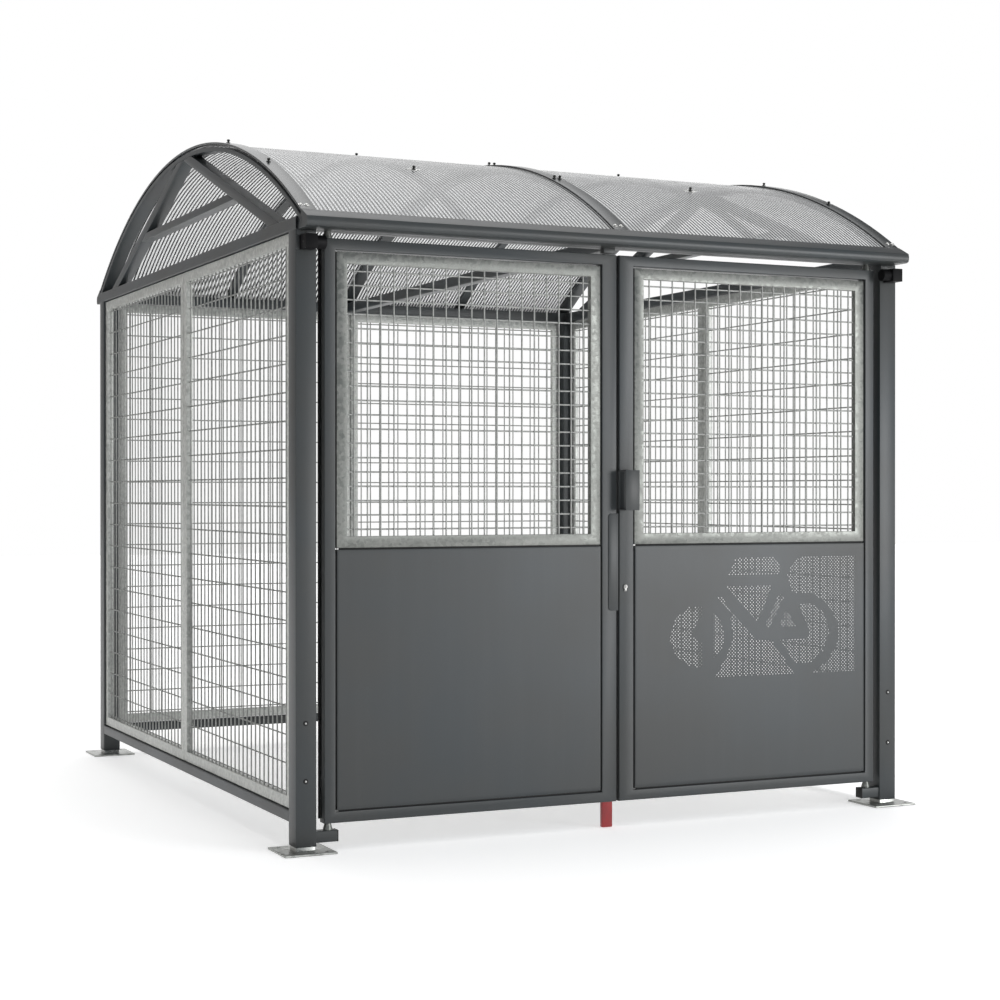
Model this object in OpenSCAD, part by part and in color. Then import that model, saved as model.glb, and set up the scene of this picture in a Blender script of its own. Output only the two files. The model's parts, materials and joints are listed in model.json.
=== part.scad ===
// Bike shelter: four steel posts on bolted base plates, framed wire mesh walls on three sides,
// two outward opening doors on the front and a barrel roof of multiwall sheet on arched ribs.
// X runs along the door front, the doors face -Y, Z is up. The origin is on the ground under
// the middle of the plan.

/* [Overall size] */
// Width over the posts, along X
body_w = 2515; // [2000:5:3100]
// Depth over the posts, along Y
body_d = 2835; // [2300:5:3450]
// Height of the post tops above the ground
post_top = 2146; // [1900:1:2600]

/* [Posts and feet] */
// Side of the square post
post_s = 75; // [62:1:90]
// Wall thickness of the post tube
post_wall = 2.5; // [2:0.5:4]
// Height of the post's lower end above the ground
post_lift = 21; // [14:1:40]
// Side of the square base plate
plate_s = 190; // [170:1:240]
// Thickness of the base plate
plate_t = 8; // [6:1:12]
// Diameter of a base plate hole
plate_hole_d = 14; // [9:0.5:18]
// Distance between base plate holes, both ways
plate_hole_pitch = 130; // [120:1:160]
// Height of the foot's stub tube, from the ground
stub_h = 500; // [300:10:700]
// Wall thickness of the stub tube
stub_wall = 4; // [3:0.5:6]
// Gap between stub tube and post, each side
stub_gap = 0.5; // [0.3:0.1:1]

/* [Rails and beams] */
// Height and thickness of the bottom rails
rail_s = 40; // [32:1:50]
// Wall thickness of the rails and beams
rail_wall = 2.5; // [2:0.5:4]
// Height of the bottom rails' underside above the ground
rail_z = 100; // [80:1:150]
// Height of the tie beams and eave beams
tie_h = 45; // [36:1:56]
// Width of the tie beams and eave beams
tie_w = 50; // [40:1:60]
// Distance of the door stop from the middle, towards the left leaf
stop_x = 36; // [26:1:60]
// Length of the door stop under the front eave beam, along X
stop_w = 46; // [30:1:60]
// Height of the door stop
stop_h = 18; // [12:1:19]
// Depth of the door stop, along Y
stop_d = 30; // [20:1:44]

/* [Roof] */
// Radius of the roof's outer surface
roof_r = 2652; // [2300:1:3300]
// Height of the roof's outer surface above the post tops, over the posts' outer faces
eave_rise = 86; // [80:1:104]
// Distance of the roof's ends inside the posts' outer faces
gable_inset = 7.5; // [0:0.5:20]
// Width of an arch at the gables and in the middle, along X
arch_w = 60; // [48:1:75]
// Depth of an arch, along the radius
arch_h = 17; // [12:1:24]
// Width of the ribs between the arches, along X
rib_w = 40; // [30:1:50]
// Thickness of the multiwall roof sheet
sheet_t = 10; // [8:1:12]
// Distance of the sheet's outer edge behind the gable face
sheet_inset = 12; // [6:1:16]
// Distance of the sheet's edge from the middle of the roof
sheet_mid_gap = 3; // [1:0.5:6]
// Overhang of the sheet beyond the posts, along Y
sheet_over = 58; // [48:1:66]
// Overhang of the arches and ribs beyond the posts, along Y
arch_over = 45; // [36:1:50]
// Overhang of the cover strips beyond the posts, along Y
cover_over = 30; // [20:1:32]
// Thickness of the cover strips over the arches
cover_t = 8; // [5:0.5:10]
// Gap between the curved layers
seat_gap = 0.3; // [0.1:0.1:0.5]
// Face height of the gable rafters
rafter_h = 40; // [34:1:46]
// Width of the gable rafters and collars, along X
rafter_w = 50; // [40:1:60]
// Distance of the rafters' feet behind the posts' outer faces
rafter_set = 194; // [160:1:230]
// Height at which the rafters' upper edges would meet, above the arch's underside
rafter_peak = 36; // [30:1:48]
// Height of the collar's underside above the post tops
collar_z = 204; // [180:1:230]
// Face height of the collar
collar_h = 30; // [24:1:36]

/* [Gutters] */
// Depth of the gutter in front of the posts, along Y
gutter_d = 98; // [84:1:110]
// Height of the gutter's rounded front above the post tops
gutter_h = 36; // [30:1:44]
// Length of the gutter's top flange, along Y
flange_w = 59; // [50:1:62]
// Height of the flange's inner edge above the roof's outer surface
flange_lift = 2.5; // [0:0.5:8]
// Wall thickness of the gutter
gutter_t = 3; // [2:0.5:4]
// Thickness of a gutter end cap
cap_t = 4; // [3:0.5:6]

/* [Mesh panels] */
// Face width of a panel's galvanised frame
frame_s = 40; // [32:1:48]
// Depth of a panel's galvanised frame
frame_t = 25; // [20:1:30]
// Gap around a framed panel
panel_gap = 4; // [3:0.5:6]
// Distance of the wall panels behind the posts' outer faces
panel_inset = 8; // [4:1:14]
// Thickness of a mesh wire
wire_t = 5; // [4:0.5:6]
// Distance between upright wires, and between the doors' level wires
wire_pitch = 50; // [45:1:70]
// Distance between the walls' level wires
wire_rise = 100; // [90:1:150]
// Only one out of so many of the walls' level wires is modelled
wire_step = 2; // [1:1:3]
// Depth by which crossing wires are melted into each other
wire_weld = 1; // [0.5:0.1:2]
// Depth of a panel's level wires behind the face of its frame
wire_set = 10; // [6:1:13]

/* [Doors] */
// Gap between a post and the door beside it
door_side_gap = 30; // [26:1:40]
// Gap between the two doors
door_mid_gap = 12; // [12:0.5:16]
// Height of the doors' lower edge above the ground
door_z = 97; // [95:1:120]
// Gap between the doors' upper edge and the post tops
door_top_gap = 24; // [24:1:34]
// Thickness of the door frames
door_t = 50; // [44:1:56]
// Face width of the hinge stile
hinge_stile_w = 40; // [36:1:48]
// Face width of the meeting stile
meet_stile_w = 60; // [56:1:70]
// Face height of the doors' top and bottom rails
door_rail_h = 38; // [32:1:46]
// Wall thickness of the door frame tubes
door_wall = 2.5; // [2:0.5:3]
// Height of the line between lower panel and mesh, above the ground
seam_z = 1048; // [900:1:1200]
// Gap around the lower panel and the mesh frame in a door
infill_gap = 6; // [4:0.5:8]
// Distance of the mesh frame behind the door's face
mesh_inset = 4; // [2:0.5:8]
// Thickness of the rail behind the line between lower panel and mesh
mid_rail_t = 18; // [14:1:20]
// Thickness of the sheet of the lower panel
sheet_metal_t = 2; // [1.5:0.5:3]
// Depth of the folded edges of the lower panel
fold_d = 25; // [18:1:30]
// Height of the open notch at the lower panel's corners
notch_h = 16; // [10:1:22]
// Width of the open notch at the lower panel's corners
notch_w = 8; // [5:0.5:12]

/* [Pivots and closers] */
// Diameter of the pivot pins
pin_d = 16; // [12:0.5:20]
// Radial running gap of a pivot pin in the door
pin_gap = 0.1; // [0.05:0.05:0.3]
// Depth of a pivot pin in the door
pin_grip = 30; // [20:1:34]
// Side of the square bracket tube under the doors
bracket_s = 40; // [34:1:44]
// Length of the bracket tube beyond the post
bracket_l = 79; // [70:1:90]
// Height of the bracket's underside above the ground
bracket_z = 32; // [22:1:46]
// Wall thickness of the bracket tube
bracket_wall = 3; // [2:0.5:5]
// Diameter of the door closer's cylinder
closer_d = 46; // [38:1:48]
// Distance of the cylinder's end from the post's outer face, along X
closer_in = 94.5; // [85:0.5:95]
// Distance of the cylinder's axis in front of the post
closer_out = 35; // [30:1:40]
// Height of the door closer
closer_h = 50; // [40:1:60]
// Width of the closer's housing, along X
closer_box_w = 44; // [36:1:48]
// Depth of the closer's housing in front of the post
closer_box_d = 65; // [56:1:72]
// Distance of the housing from the post's outer face, along X
closer_box_in = 14.5; // [8:0.5:18]
// Distance of the closer's upper face below the post tops
closer_drop = 20; // [14:1:40]

/* [Handle, lock and bolt] */
// Width of the pull handle, along X
handle_w = 58; // [44:1:62]
// Distance by which the pull handle stands over the leaf's edge
handle_over = 4; // [0:0.5:5]
// Height of the pull handle
handle_h = 148; // [120:1:180]
// Depth of the pull handle in front of the door
handle_d = 57; // [45:1:70]
// Thickness of the handle's plate
handle_t = 4; // [3:0.5:5]
// Height of the handle's lower edge above the ground
handle_z = 1177; // [1060:1:1300]
// Height of the lock cylinder's middle above the ground
lock_z = 892; // [700:1:1000]
// Distance of the lock cylinder from the leaf's edge
lock_in = 24; // [18:1:34]
// Diameter of the lock cylinder
lock_d = 17; // [14:1:20]
// Height of the guard plate's lower edge above the ground
guard_z = 805; // [700:5:900]
// Gap between the guard plate and the right leaf
guard_gap = 6; // [5.5:0.5:9]
// Width of the guard plate beside the lock, along X
guard_w = 41; // [34:1:46]
// Height of the guard plate
guard_h = 360; // [300:5:420]
// Thickness of the guard plate
guard_t = 3; // [2:0.5:4]
// Corner radius of the guard plate
guard_r = 14; // [8:1:20]
// Width of the drop bolt, along X
bolt_w = 42; // [36:1:44]
// Depth of the drop bolt, along Y
bolt_d = 20; // [16:1:30]
// Length of the drop bolt
bolt_l = 330; // [260:10:400]

/* [Hidden] */
hw = body_w / 2;
hd = body_d / 2;
inner_x = hw - post_s;
inner_y = hd - post_s;
gable_x = hw - gable_inset;
rib_x = gable_x / 2 - arch_w / 4;
// Roof circle, its centre height and the height of a circle of radius r at the distance y
arc_z = post_top + eave_rise - sqrt(roof_r * roof_r - hd * hd);
function circle_z(r, y) = arc_z + sqrt(r * r - y * y);
sheet_ro = roof_r - cover_t - seat_gap;
sheet_ri = sheet_ro - sheet_t;
arch_ro = sheet_ri - seat_gap;
arch_ri = arch_ro - arch_h;
arch_y = hd + arch_over;
sheet_y = hd + sheet_over;
cover_y = hd + cover_over;
tie_top = post_top + tie_h;
// Gable rafters: the upper edge starts on the tie beam and its line meets the arch at the ridge
rafter_foot = hd - rafter_set;
rafter_rise = arc_z + arch_ri + rafter_peak - tie_top;
rafter_a = atan(rafter_rise / rafter_foot);
rafter_v = rafter_h / cos(rafter_a);
// Gutter outline, outward and upward from the post tops' outer edge
flange_u0 = gutter_d - 3 - flange_w;
flange_u1 = gutter_d - 3;
flange_v0 = circle_z(roof_r, hd + flange_u0) + flange_lift - post_top;
flange_v1 = gutter_h;
flange_s = (flange_v0 - flange_v1) / flange_w;
lip_v = circle_z(sheet_ro, hd + flange_u0 - gutter_t) + 4 - post_top;
back_v = circle_z(arch_ri, hd) - post_top - 4;
// Framed wall panels
wall_z0 = rail_z + rail_s + panel_gap;
wall_z1 = post_top - panel_gap;
side_len = inner_y - panel_gap * 1.5;
back_len = inner_x - panel_gap * 1.5;
// Doors: leaf from the meeting edge (meet_x) to the hinge edge (hinge_x), both from the middle
meet_x = door_mid_gap / 2;
hinge_x = inner_x - door_side_gap;
leaf_w = hinge_x - meet_x;
door_y = -hd;
door_top = post_top - door_top_gap;
infill_x0 = meet_x + meet_stile_w + infill_gap;
infill_x1 = hinge_x - hinge_stile_w - infill_gap;
infill_w = infill_x1 - infill_x0;
mesh_z0 = seam_z + infill_gap / 3;
mesh_z1 = door_top - door_rail_h - infill_gap;
panel_z0 = door_z + door_rail_h + infill_gap;
panel_z1 = seam_z - infill_gap * 2 / 3;
pin_x = hinge_x - hinge_stile_w / 2;
pin_y = door_y + door_t / 2;
pin_bore_d = pin_d + 2 * pin_gap;
closer_x = hw - closer_in;
closer_y = door_y - closer_out;
closer_z = post_top - closer_drop - closer_h;

paint = "#4f5456";
zinc = "#9c9f9b";
clear = "#d9dfe2";

// Extrudes an outline drawn in (y, z) along X, from x0 for the width w
module along_x(x0, w) {
    translate([x0, 0, 0])
        rotate([90, 0, 90])
            linear_extrude(height = w)
                children();
}

// Extrudes an outline drawn in (x, z) along Y, from y0 for the thickness t
module along_y(y0, t) {
    translate([0, y0 + t, 0])
        rotate([90, 0, 0])
            linear_extrude(height = t)
                children();
}

// Box from two opposite corners
module box(a, b) {
    translate(a)
        cube(b - a);
}

// Rectangular tube along Y (or along X when lie_x), open at both ends
module tube(a, b, lie_x = false) {
    t = rail_wall;
    e = lie_x ? [-1, t, t] : [t, -1, t];
    difference() {
        box(a, b);
        box(a + e, b - e);
    }
}

// Mirrors a piece from the right or back to the left or front
module flip_x(on) {
    mirror([on ? 1 : 0, 0, 0])
        children();
}
module flip_y(on) {
    mirror([0, on ? 1 : 0, 0])
        children();
}

// Square post tube, drawn at the back right corner
module post(left, front) {
    color(paint)
        flip_x(left)
            flip_y(front)
                difference() {
                    box([inner_x, inner_y, post_lift], [hw, hd, post_top]);
                    box([inner_x + post_wall, inner_y + post_wall, post_lift - 1],
                        [hw - post_wall, hd - post_wall, post_top + 1]);
                }
}

// Base plate with four holes and the stub tube that the post slides over
module foot(left, front) {
    cx = hw - post_s / 2;
    cy = hd - post_s / 2;
    so = post_s / 2 - post_wall - stub_gap;
    si = so - stub_wall;
    p = plate_hole_pitch / 2;
    color(zinc)
        flip_x(left)
            flip_y(front)
                translate([cx, cy, 0])
                    difference() {
                        union() {
                            box([-plate_s / 2, -plate_s / 2, 0], [plate_s / 2, plate_s / 2, plate_t]);
                            box([-so, -so, 0], [so, so, stub_h]);
                        }
                        box([-si, -si, plate_t], [si, si, stub_h + 1]);
                        for (x = [-p, p], y = [-p, p])
                            translate([x, y, -1])
                                cylinder(d = plate_hole_d, h = plate_t + 2, $fn = 48);
                    }
}

// Bottom rails between the posts
module bottom_rail_side(left) {
    color(paint)
        flip_x(left)
            tube([hw - rail_s, -inner_y, rail_z], [hw, inner_y, rail_z + rail_s]);
}
module bottom_rail_rear() {
    color(paint)
        tube([-inner_x, hd - rail_s, rail_z], [inner_x, hd, rail_z + rail_s], true);
}

// Tie beams over the side walls and across the middle
module tie_beam_side(left) {
    color(paint)
        flip_x(left)
            tube([hw - tie_w, -hd, post_top], [hw, hd, tie_top]);
}
module tie_beam_mid() {
    color(paint)
        tube([-tie_w / 2, -hd + tie_w, post_top], [tie_w / 2, hd - tie_w, tie_top]);
}

// Eave beams between the side tie beams; the front one carries the doors' upper pivot pins
module eave_beam(front) {
    color(paint)
        flip_y(front)
            tube([-hw + tie_w, hd - tie_w, post_top], [hw - tie_w, hd, tie_top], true);
    if (front)
        color(zinc)
            for (s = [-1, 1])
                translate([s * pin_x, pin_y, door_top - pin_grip])
                    cylinder(d = pin_d, h = post_top - door_top + pin_grip + rail_wall, $fn = 64);
}

// Stop for the door leaves under the front eave beam
module stop_block() {
    color(paint)
        translate([-stop_x - stop_w / 2, door_y, post_top - stop_h])
            cube([stop_w, stop_d, stop_h]);
}

// Part of a ring about the roof's axis, up to y1 on both sides
module ring_2d(ro, ri, y1) {
    intersection() {
        translate([0, arc_z])
            difference() {
                circle(r = ro, $fn = 360);
                circle(r = ri, $fn = 360);
            }
        translate([-y1, arc_z + ri / 2])
            square([2 * y1, ri]);
    }
}

// Arch over a tie beam, seated on it
module arch(x0, w) {
    color(paint)
        difference() {
            along_x(x0, w)
                ring_2d(arch_ro, arch_ri, arch_y);
            box([x0 - 1, -hd, post_top], [x0 + w + 1, hd, tie_top]);
        }
}

// Gable rafter, cut by the underside of the arch and by the tie beam, drawn on the +Y side
module rafter(left, front) {
    color(paint)
        flip_x(left)
            flip_y(front)
                intersection() {
                    along_x(gable_x - rafter_w, rafter_w)
                        polygon([
                            [0.01, tie_top + rafter_rise],
                            [0.01, tie_top + rafter_rise - rafter_v],
                            [rafter_foot * (1 - rafter_v / rafter_rise), tie_top],
                            [rafter_foot, tie_top]
                        ]);
                    translate([gable_x - rafter_w - 1, 0, arc_z])
                        rotate([0, 90, 0])
                            cylinder(r = arch_ri - seat_gap, h = rafter_w + 2, $fn = 360);
                }
}

// Collar between the two rafters of a gable
module collar(left) {
    z0 = post_top + collar_z;
    z1 = z0 + collar_h;
    function under(z) = rafter_foot * (1 - (rafter_v + z - tie_top) / rafter_rise);
    color(paint)
        flip_x(left)
            along_x(gable_x - rafter_w, rafter_w)
                polygon([
                    [-under(z0), z0], [under(z0), z0],
                    [under(z1), z1], [-under(z1), z1]
                ]);
}

// Half of the roof sheet, from the middle to a gable
module roof_sheet(left) {
    color(clear, 0.6)
        flip_x(left)
            along_x(sheet_mid_gap, gable_x - sheet_inset - sheet_mid_gap)
                ring_2d(sheet_ro, sheet_ri, sheet_y);
}

// Cover strip over the joint of the sheets or over a gable edge
module cover_strip(x0) {
    color(paint)
        along_x(x0, arch_w)
            ring_2d(roof_r, sheet_ro + seat_gap, cover_y);
}

// Gutter outline in (y, z) at the back eave
function gutter_outer() = [
    [0, 0], [gutter_d - 16, 0], [gutter_d - 4, 4], [gutter_d, 13], [gutter_d, gutter_h - 12],
    [flange_u1, flange_v1], [flange_u0, flange_v0]
];
module gutter_trough() {
    t = gutter_t;
    polygon(concat(gutter_outer(), [
        [flange_u0 - t, flange_v0], [flange_u0 - t, lip_v], [flange_u0, lip_v],
        [flange_u0, flange_v0 - t * 1.2],
        [flange_u1 - t, flange_v1 - t * 1.2 + t * flange_s],
        [gutter_d - t, gutter_h - 13], [gutter_d - t, 14], [gutter_d - 6, 7],
        [gutter_d - 17, t], [t, t], [t, back_v], [0, back_v]
    ]));
}
// Gutter with its two end caps, which stop short of the gable arches
module gutter(front) {
    color(paint)
        flip_y(front)
            translate([0, hd, post_top]) {
                along_x(-gable_x, 2 * gable_x)
                    gutter_trough();
                for (x0 = [-gable_x, gable_x - cap_t])
                    along_x(x0, cap_t)
                        difference() {
                            polygon(concat(gutter_outer(), [[flange_u0, lip_v], [0, 0]]));
                            translate([-hd, -post_top])
                                ring_2d(arch_ro + seat_gap, arch_ri - seat_gap, arch_y + seat_gap);
                        }
            }
}

// Framed wire mesh in (u, v), standing from z = 0: width w, height h, wires at pu and pv apart,
// one out of every `step` level wires. The upright wires lie on the level ones, welded to them.
module framed_mesh(w, h, pu, pv, step) {
    s = frame_s;
    t = wire_t;
    nu = floor((w - 2 * s - 2 * t) / pu);
    nv = floor((h - 2 * s - 2 * t) / pv);
    u0 = (w - nu * pu - t) / 2;
    v0 = (h - nv * pv - t) / 2;
    difference() {
        cube([w, h, frame_t]);
        translate([s, s, -1])
            cube([w - 2 * s, h - 2 * s, frame_t + 2]);
    }
    for (i = [0:nu])
        translate([u0 + i * pu, s - 2, wire_set - t + wire_weld])
            cube([t, h - 2 * s + 4, t]);
    for (j = [0:step:nv])
        translate([s - 2, v0 + j * pv, wire_set])
            cube([w - 2 * s + 4, t, t]);
}

// Mesh wall beside the bikes, drawn at the right side behind the middle
module mesh_wall_side(left, front) {
    color(zinc)
        flip_x(left)
            flip_y(front)
                translate([hw - panel_inset, panel_gap / 2, wall_z0])
                    rotate([90, 0, 90])
                        mirror([0, 0, 1])
                            framed_mesh(side_len, wall_z1 - wall_z0, wire_pitch, wire_rise, wire_step);
}
module mesh_wall_rear(left) {
    color(zinc)
        flip_x(left)
            translate([panel_gap / 2, hd - panel_inset, wall_z0])
                rotate([90, 0, 0])
                    framed_mesh(back_len, wall_z1 - wall_z0, wire_pitch, wire_rise, wire_step);
}

// Tube frame of a door, drawn as the right leaf; its hinge stile turns on the pivot pins
module door_frame(left) {
    y0 = door_y;
    y1 = door_y + door_t;
    w = door_wall;
    hx = hinge_x - hinge_stile_w;
    mx = meet_x + meet_stile_w;
    color(paint)
        flip_x(left)
            difference() {
                union() {
                    box([hx, y0, door_z], [hinge_x, y1, door_top]);
                    box([meet_x, y0, door_z], [mx, y1, door_top]);
                    box([mx - 1, y0, door_z], [hx + 1, y1, door_z + door_rail_h]);
                    box([mx - 1, y0, door_top - door_rail_h], [hx + 1, y1, door_top]);
                    box([mx - 1, y1 - mid_rail_t, seam_z], [hx + 1, y1, seam_z + frame_s]);
                }
                box([meet_x + w, y0 + w, left ? door_z - 1 : door_z + w],
                    [mx - w, y1 - w, door_top - w]);
                box([hx + w, y0 + w, door_z + pin_grip + 5], [hinge_x - w, y1 - w, door_top - pin_grip - 5]);
                translate([pin_x, pin_y, door_z - 1])
                    cylinder(d = pin_bore_d, h = pin_grip + 3, $fn = 64);
                translate([pin_x, pin_y, door_top - pin_grip - 2])
                    cylinder(d = pin_bore_d, h = pin_grip + 3, $fn = 64);
            }
}

// Galvanised frame with wire mesh in the upper half of a door
module door_mesh(left) {
    color(zinc)
        flip_x(left)
            translate([infill_x0, door_y + mesh_inset, mesh_z0])
                mirror([0, 1, 0])
                    rotate([90, 0, 0])
                        framed_mesh(infill_w, mesh_z1 - mesh_z0, wire_pitch, wire_pitch, 1);
}

// Folded sheet panel in the lower half of a door, open at its corners
module door_panel(left) {
    t = sheet_metal_t;
    n = notch_w;
    h = panel_z1 - panel_z0;
    color(paint)
        flip_x(left)
            translate([infill_x0, door_y, panel_z0])
                difference() {
                    cube([infill_w, fold_d, h]);
                    translate([t, t, t])
                        cube([infill_w - 2 * t, fold_d, h - 2 * t]);
                    for (x = [-1, infill_w - n], z = [-1, h - notch_h])
                        translate([x, -1, z])
                            cube([n + 1, fold_d + 2, notch_h + 1]);
                }
}

// Bracket tube on the post under a door, with the lower pivot pin
module pivot_bracket(left) {
    b = bracket_s / 2;
    t = bracket_wall;
    z1 = bracket_z + bracket_s;
    color(paint)
        flip_x(left)
            difference() {
                box([inner_x - bracket_l, pin_y - b, bracket_z], [inner_x, pin_y + b, z1]);
                box([inner_x - bracket_l - 1, pin_y - b + t, bracket_z + t],
                    [inner_x - t, pin_y + b - t, z1 - t]);
            }
    color(zinc)
        flip_x(left)
            translate([pin_x, pin_y, z1 - t])
                cylinder(d = pin_d, h = door_z + pin_grip - z1 + t, $fn = 64);
}

// Door closer on the post: a housing and an upright cylinder
module closer(left) {
    color("#1d1f20")
        flip_x(left) {
            box([hw - closer_box_in - closer_box_w, door_y - closer_box_d, closer_z],
                [hw - closer_box_in, door_y, closer_z + closer_h]);
            along_x(closer_x, closer_in - closer_box_in - closer_box_w + 1)
                translate([closer_y, closer_z + closer_h / 2])
                    circle(d = closer_d, $fn = 96);
        }
}

// Guard plate on the left leaf, covering the gap beside the lock
module guard() {
    x1 = meet_x - guard_gap;
    r = guard_r;
    color(paint)
        along_y(door_y - guard_t, guard_t)
            difference() {
                translate([x1 - guard_w, guard_z])
                    square([guard_w, guard_h]);
                for (e = [0, 1])
                    translate([x1 - guard_w, guard_z + e * guard_h])
                        mirror([0, e])
                            difference() {
                                translate([-1, -1])
                                    square([r + 1, r + 1]);
                                translate([r, r])
                                    circle(r = r, $fn = 48);
                            }
            }
}

// Square drop bolt inside the left leaf's meeting stile, standing on the ground
module ground_bolt() {
    cx = -meet_x - meet_stile_w / 2;
    color("#982020")
        box([cx - bolt_w / 2, pin_y - bolt_d / 2, 1], [cx + bolt_w / 2, pin_y + bolt_d / 2, bolt_l]);
}

// Folded pull handle on the right leaf's meeting stile, open at both sides
module handle() {
    t = handle_t;
    color(paint)
        along_x(meet_x - handle_over, handle_w)
            translate([door_y, handle_z])
                difference() {
                    translate([-handle_d, 0])
                        square([handle_d, handle_h]);
                    translate([-handle_d + t, t])
                        square([handle_d - 2 * t, handle_h - 2 * t]);
                }
}

// Lock cylinder in the right leaf's meeting stile
module lock() {
    color(zinc)
        translate([meet_x + lock_in, door_y - 5, lock_z])
            rotate([-90, 0, 0])
                difference() {
                    union() {
                        cylinder(d = lock_d, h = 5, $fn = 64);
                        translate([-5, 0, 0])
                            cube([10, 16, 5]);
                    }
                    translate([-1, -6, -1])
                        cube([2, 12, 4]);
                }
}

post(true, true);  // post_front_left
post(false, true);  // post_front_right
post(true, false);  // post_back_left
post(false, false);  // post_back_right
foot(true, true);  // foot_front_left
foot(false, true);  // foot_front_right
foot(true, false);  // foot_back_left
foot(false, false);  // foot_back_right
bottom_rail_side(true);  // bottom_rail_left
bottom_rail_side(false);  // bottom_rail_right
bottom_rail_rear();  // bottom_rail_back
tie_beam_side(true);  // tie_beam_left
tie_beam_mid();  // tie_beam_middle
tie_beam_side(false);  // tie_beam_right
eave_beam(true);  // eave_beam_front
eave_beam(false);  // eave_beam_back
stop_block();  // door_stop
gutter(true);  // gutter_front
gutter(false);  // gutter_back
arch(-gable_x, arch_w);  // arch_left
arch(-arch_w / 2, arch_w);  // arch_middle
arch(gable_x - arch_w, arch_w);  // arch_right
arch(-rib_x - rib_w / 2, rib_w);  // roof_rib_left
arch(rib_x - rib_w / 2, rib_w);  // roof_rib_right
rafter(true, true);  // rafter_left_front
rafter(true, false);  // rafter_left_back
rafter(false, true);  // rafter_right_front
rafter(false, false);  // rafter_right_back
collar(true);  // collar_left
collar(false);  // collar_right
roof_sheet(true);  // roof_sheet_left
roof_sheet(false);  // roof_sheet_right
cover_strip(-gable_x);  // cover_strip_left
cover_strip(-arch_w / 2);  // cover_strip_middle
cover_strip(gable_x - arch_w);  // cover_strip_right
mesh_wall_side(true, true);  // mesh_wall_left_front
mesh_wall_side(true, false);  // mesh_wall_left_back
mesh_wall_side(false, true);  // mesh_wall_right_front
mesh_wall_side(false, false);  // mesh_wall_right_back
mesh_wall_rear(true);  // mesh_wall_back_left
mesh_wall_rear(false);  // mesh_wall_back_right
pivot_bracket(true);  // pivot_bracket_left
pivot_bracket(false);  // pivot_bracket_right
closer(true);  // closer_left
closer(false);  // closer_right
door_frame(true);  // door_frame_left
door_mesh(true);  // door_mesh_left
door_panel(true);  // door_panel_left
guard();  // guard_plate
ground_bolt();  // drop_bolt
door_frame(false);  // door_frame_right
door_mesh(false);  // door_mesh_right
door_panel(false);  // door_panel_right
handle();  // pull_handle
lock();  // lock_cylinder
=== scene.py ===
import json
import math

import bpy
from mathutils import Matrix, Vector

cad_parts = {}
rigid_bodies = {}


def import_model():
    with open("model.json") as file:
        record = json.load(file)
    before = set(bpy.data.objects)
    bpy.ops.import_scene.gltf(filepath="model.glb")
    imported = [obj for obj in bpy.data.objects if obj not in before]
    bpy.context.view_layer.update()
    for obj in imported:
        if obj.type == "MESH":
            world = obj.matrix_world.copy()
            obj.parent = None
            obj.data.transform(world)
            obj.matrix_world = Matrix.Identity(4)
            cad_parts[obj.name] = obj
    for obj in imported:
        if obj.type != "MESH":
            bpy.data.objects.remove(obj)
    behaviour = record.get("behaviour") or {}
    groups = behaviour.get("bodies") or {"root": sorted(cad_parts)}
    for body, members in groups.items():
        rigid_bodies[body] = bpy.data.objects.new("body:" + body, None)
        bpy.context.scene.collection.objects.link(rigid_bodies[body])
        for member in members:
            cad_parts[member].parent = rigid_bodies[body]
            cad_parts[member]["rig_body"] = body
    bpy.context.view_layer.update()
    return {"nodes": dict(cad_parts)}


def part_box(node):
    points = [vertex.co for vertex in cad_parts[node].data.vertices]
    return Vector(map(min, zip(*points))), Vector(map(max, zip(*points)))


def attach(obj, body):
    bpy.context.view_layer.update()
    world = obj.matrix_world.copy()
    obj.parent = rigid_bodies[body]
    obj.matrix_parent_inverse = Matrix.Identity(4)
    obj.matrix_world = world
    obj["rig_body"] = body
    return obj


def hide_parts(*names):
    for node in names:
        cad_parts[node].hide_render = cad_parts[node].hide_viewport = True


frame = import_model()
quarter = math.pi / 2
hair = 0.00002  # places closer than this are the same place
mergeGap = 0.00001  # points closer than this become one


def report(stage):
    print("bike shelter:", stage)


# shader tools


class Value:  # a socket that takes part in sums
    def __init__(self, nodes, socket):
        self.nodes, self.socket = nodes, socket

    def maths(self, operation, first, second=0.0):
        return self.nodes.node("ShaderNodeMath", {"operation": operation}, {0: first, 1: second})

    def __add__(self, other):
        return self.maths("ADD", self, other)

    def __radd__(self, other):
        return self.maths("ADD", other, self)

    def __sub__(self, other):
        return self.maths("SUBTRACT", self, other)

    def __rsub__(self, other):
        return self.maths("SUBTRACT", other, self)

    def __mul__(self, other):
        return self.maths("MULTIPLY", self, other)

    def __rmul__(self, other):
        return self.maths("MULTIPLY", other, self)

    def __truediv__(self, other):
        return self.maths("DIVIDE", self, other)

    def __rtruediv__(self, other):
        return self.maths("DIVIDE", other, self)

    def __gt__(self, other):
        return self.maths("GREATER_THAN", self, other)


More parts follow.
